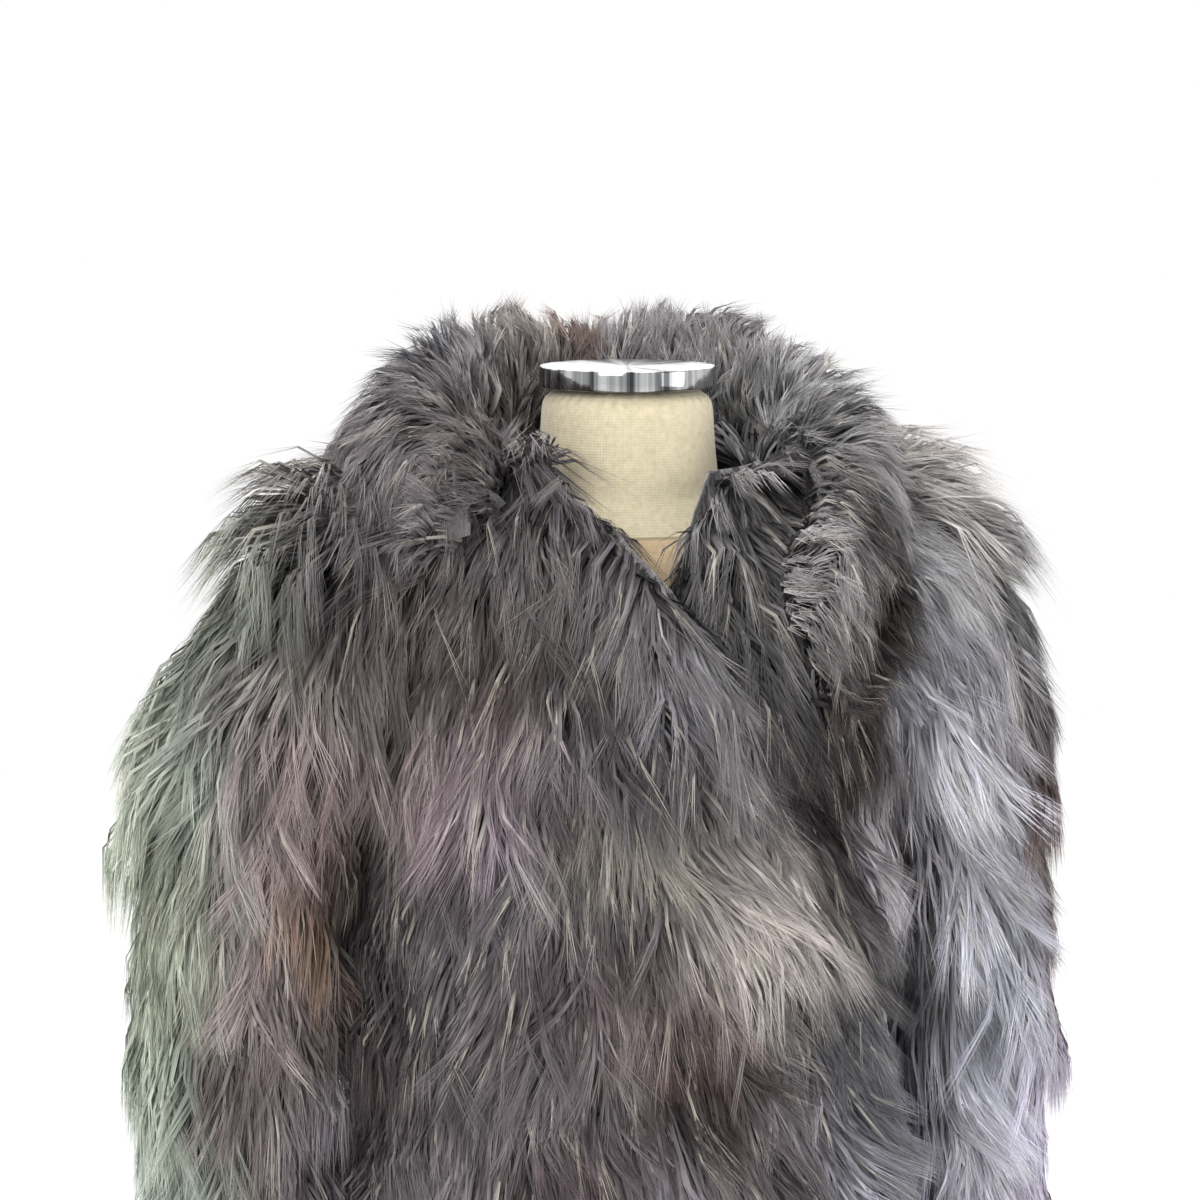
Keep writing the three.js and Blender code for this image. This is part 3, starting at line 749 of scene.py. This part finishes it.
def grow(spot, normal, flow, tier, lock, locks, length, is_collar):
    """Each hair's place at each step from root to tip, and its length."""
    strands = len(spot)
    tuft, tufts = groups_of(spot, TUFT_SIZE, 60)
    tuft_lift = np.clip(dice.gamma(2.0, 0.5, tufts), 0.2, 2.0)[tuft]
    long = length * (0.78 + 0.35 * tier) * dice.uniform(0.8, 1.15, locks)[lock]
    long *= dice.uniform(0.7, 1.15, strands)

    lift = HAIR_LIFT * (0.35 + 0.75 * tier ** 2) * (0.55 + 0.45 * tuft_lift)
    lift *= dice.uniform(0.6, 1.25, strands)
    if not is_collar:
        lift *= 1 + SHOULDER_LIFT * np.clip(normal[:, 2], 0, 1)
    beside_body = near(spot, (-0.197, -0.01, 1.02), (0.022, 0.10, 0.26))
    lift *= (1 + 1.9 * beside_body) * np.where(spot[:, 0] < -0.17, 1.3, 1.0)
    lift *= np.where(spot[:, 0] > 0.19, 0.8, 1.0)
    if is_collar:
        lift *= COLLAR_LIFT
    lift = np.minimum(lift * (1 + near(spot, (0.06, -0.13, 1.36), (0.05, 0.08, 0.07))), MOST_LIFT)

    root = spot - normal * (ROOT_DEPTH - 0.006 * tier)[:, None]
    swing = np.cross(normal, flow)
    turn = 0.26 * dice.normal(size=locks)[lock] + 0.20 * dice.normal(size=tufts)[tuft]
    turn = turn + 0.10 * dice.normal(size=strands)
    right_chest = near(spot, (-0.03, -0.16, 1.33), (0.13, 0.1, 0.10))
    left_chest = near(spot, (0.09, -0.15, 1.36), (0.09, 0.1, 0.10))
    curl = CURL_WIDTH * np.clip(1.4 * right_chest + 1.4 * left_chest, 0.15, 1)
    if is_collar:
        curl *= COLLAR_CURL
    phase = dice.uniform(0, 2 * math.pi, locks)[lock] + dice.normal(0, 0.5, strands)

    levels = []
    for s in STEPS:
        rise = lift * math.sin(min(1.0, 1.35 * s) * math.pi / 2)
        point = root + flow * (long * s)[:, None] + normal * rise[:, None]
        bend = turn * long * s * s + curl * np.sin(phase + CURL_TURNS * s) * min(1, 3 * s)
        point = point + swing * bend[:, None]
        point[:, 2] -= DROOP * long * s * s
        pull = COLLAR_LOCK_PULL if is_collar else LOCK_PULL
        point += (clump_mean(point, lock, locks)[lock] - point) * pull * s
        point += (clump_mean(point, tuft, tufts)[tuft] - point) * TUFT_PULL * s
        levels.append(np.clip(point, fur_low, fur_high))
    return levels, long


def blade_corners(levels, normal):
    """The corners of every blade: pairs up to the bend, five across the split, then the tips."""
    strands = len(normal)
    twist = dice.normal(0, 0.6, strands)
    blade = BLADE_WIDTH * dice.uniform(0.7, 1.3, strands)
    corners = []
    last = len(STEPS) - 1
    for k, s in enumerate(STEPS):
        run = unit(levels[min(k + 1, last)] - levels[max(k - 1, 0)])
        across = unit(np.cross(run, normal))
        up = np.cross(across, run)
        face = across * np.cos(twist)[:, None] + up * np.sin(twist)[:, None]
        half = (blade * (1 - 0.30 * s) / 2)[:, None]
        if k < last - 1:
            corners += [levels[k] - face * half, levels[k] + face * half]
        elif k == last - 1:
            corners += [levels[k] + face * half * f for f in np.linspace(-1, 1, TIPS + 1)]
        else:
            reach = levels[k] - levels[k - 1]
            for f in np.linspace(-1, 1, TIPS):
                stray = TIP_SCATTER * dice.normal(size=(strands, 3)) + face * (TIP_SPREAD * f)
                tip = levels[k - 1] + reach * dice.uniform(0.70, 1.20, (strands, 1)) + stray
                corners.append(np.clip(tip, fur_low, fur_high))
    return np.stack(corners, 1)


def blade_mesh(name, corners):
    """One mesh of all blades, each of two quads and its tip triangles, and the corner order in one blade."""
    strands, count = corners.shape[:2]
    quads = [[0, 1, 3, 2], [2, 3, 4 + TIPS, 4]]
    tips = [[4 + k, 5 + k, 5 + TIPS + k] for k in range(TIPS)]
    pattern = np.array(sum(quads + tips, []))
    first_blade = np.arange(strands)[:, None] * count
    face_starts = np.array([0, 4] + [8 + 3 * k for k in range(TIPS)])
    starts = (np.arange(strands)[:, None] * len(pattern) + face_starts).ravel()
    loops = (first_blade + pattern).ravel()
    mesh = bpy.data.meshes.new(name)
    mesh.vertices.add(strands * count)
    mesh.vertices.foreach_set("co", corners.reshape(-1))
    mesh.loops.add(len(loops))
    mesh.loops.foreach_set("vertex_index", loops)
    mesh.polygons.add(len(starts))
    mesh.polygons.foreach_set("loop_start", starts)
    mesh.polygons.foreach_set("use_smooth", np.ones(len(starts), bool))
    mesh.update(calc_edges=True)
    return mesh, pattern


def lay_out(mesh, pattern, heights, strands):
    """A cell of its own for each blade in one map, and a place of its own among the streaks in the other."""
    ribbon_edges = [0.1, 0.9, 0.1, 0.9]
    split = np.linspace(0.1, 0.9, TIPS + 1)
    tip_middles = 0.1 + 0.8 * (np.arange(TIPS) + 0.5) / TIPS
    across = np.concatenate([ribbon_edges, split, tip_middles])
    along = 0.08 + 0.84 * heights
    side = int(math.ceil(math.sqrt(strands)))
    number = np.arange(strands)
    cell = np.stack([number % side, number // side], 1) / side
    own_cell = np.empty((strands, len(heights), 2))
    own_cell[:, :, 0] = cell[:, 0, None] + across / side
    own_cell[:, :, 1] = cell[:, 1, None] + along / side
    streaks = np.empty((strands, len(heights), 2))
    streaks[:, :, 0] = (number * 7.31 % 97)[:, None] + across * 2.6
    streaks[:, :, 1] = (number * 3.17 % 89)[:, None] + heights * 1.2
    for title, coordinates in (("OFBake", own_cell), ("Hair", streaks)):
        uv = mesh.uv_layers.new(name=title)
        uv.data.foreach_set("uv", coordinates[:, pattern].ravel())


def make_fur(name, faces, strands, direction, length, weight, is_collar):
    """Sets hair on a pelt as one mesh of thin blades, gathered into locks, tufts and tiers."""
    spot, normal = sow_roots(faces, strands, weight)
    flow = direction(spot, normal)
    tier = np.full(strands, COLLAR_TIER) if is_collar else tier_of(spot)
    lock, locks = groups_of(spot, LOCK_SIZE, 50)
    levels, long = grow(spot, normal, flow, tier, lock, locks, length, is_collar)
    corners = blade_corners(levels, normal)
    mesh, pattern = blade_mesh(name, corners)

    heights = np.array([STEPS[0]] * 2 + [STEPS[1]] * 2 + [STEPS[2]] * (TIPS + 1) + [STEPS[3]] * TIPS)
    tint = fur_colour(spot + flow * (0.62 * long)[:, None], lock, locks, tier)
    fade = ROOT_SHADE + TIP_GAIN * heights ** 0.9
    colours = np.ones((strands, len(heights), 4))
    colours[:, :, :3] = np.clip(tint[:, None, :] * fade[None, :, None], 0.004, 0.9)
    layer = mesh.color_attributes.new("HairTint", "FLOAT_COLOR", "POINT")
    layer.data.foreach_set("color", colours.ravel())
    lay_out(mesh, pattern, heights, strands)

    mesh.materials.append(fur_material)
    piece = bpy.data.objects.new(name, mesh)
    bpy.context.collection.objects.link(piece)
    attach(piece, "root")
    return piece


def body_weight(points, normals):
    """Dense along the lapped edge, at the neck and beside the right sleeve, thin under the left one."""
    beside = (np.abs(points[:, 0]) > 0.145) & (points[:, 2] > 0.80) & (np.abs(points[:, 1]) < 0.075)
    open_side = (points[:, 0] < 0) & (points[:, 1] < 0.03)
    edge = np.abs(points[:, 0] - np.interp(points[:, 2], *zip(*FRONT_EDGE))) < 0.022
    at_edge = (edge & (points[:, 1] < -0.04)) | (points[:, 2] > 1.41)
    by_sleeve = (points[:, 0] < -0.15) & (points[:, 1] < 0.06) & (points[:, 2] > 0.9)
    return np.where(beside & ~open_side, 0.25, 1.0) * np.where(at_edge | by_sleeve, 2.2, 1.0)


def left_front_weight(points, normals):
    """As on the body, and nearly bare where the right front covers it."""
    hidden = (points[:, 0] < 0.07) & (points[:, 2] < 1.22)
    return np.where(hidden, 0.08, 1.0) * body_weight(points, normals)


def sleeve_weight(points, normals):
    """Thin where it lies against the body, and dense where the right sleeve swings clear of it."""
    towards_body = -normals[:, 0] * np.sign(points[:, 0])
    hidden = (points[:, 0] > 0) | (points[:, 1] > 0.05)
    return np.where(towards_body > 0.75, np.where(hidden, 0.2, 2.0), 1.0)


def even_weight(points, normals):
    """Equally dense all over."""
    return np.ones(len(points))


PANELS = (
    # node, pelt, fur, flat width and length, cut area, strands,
    # outward, direction, hair length, weight, slot
    ("coat_back", "back_pelt", "back_fur", (0.56, 0.72), 0.34, 19600,
     body_outward, brushed_direction, 0.068, body_weight, "grey_fur"),
    ("coat_front_right", "right_front_pelt", "right_front_fur", (0.50, 0.70), 0.28, 23800,
     body_outward, brushed_direction, 0.066, body_weight, "grey_fur"),
    ("coat_front_left", "left_front_pelt", "left_front_fur", (0.33, 0.70), 0.17, 12500,
     body_outward, brushed_direction, 0.064, left_front_weight, "grey_fur"),
    ("sleeve_right", "right_sleeve_pelt", "right_sleeve_fur", (0.46, 0.58), 0.23, 18200,
     sleeve_outward, brushed_direction, 0.070, sleeve_weight, "sage_fur"),
    ("sleeve_left", "left_sleeve_pelt", "left_sleeve_fur", (0.46, 0.58), 0.23, 18200,
     sleeve_outward, brushed_direction, 0.070, sleeve_weight, "grey_fur"),
    ("collar_right", "right_collar_pelt", "right_collar_fur", (0.32, 0.20), 0.052, 9500,
     None, collar_direction, 0.044, even_weight, "grey_fur"),
    ("collar_left", "left_collar_pelt", "left_collar_fur", (0.38, 0.20), 0.060, 11700,
     None, collar_direction, 0.044, even_weight, "grey_fur"),
)

for node, pelt_name, fur_name, flat, area, strands, outward, direction, length, weight, slot in PANELS:
    pelt, faces = make_pelt(node, pelt_name, outward)
    fur = make_fur(fur_name, faces, strands, direction, length, weight, outward is None)
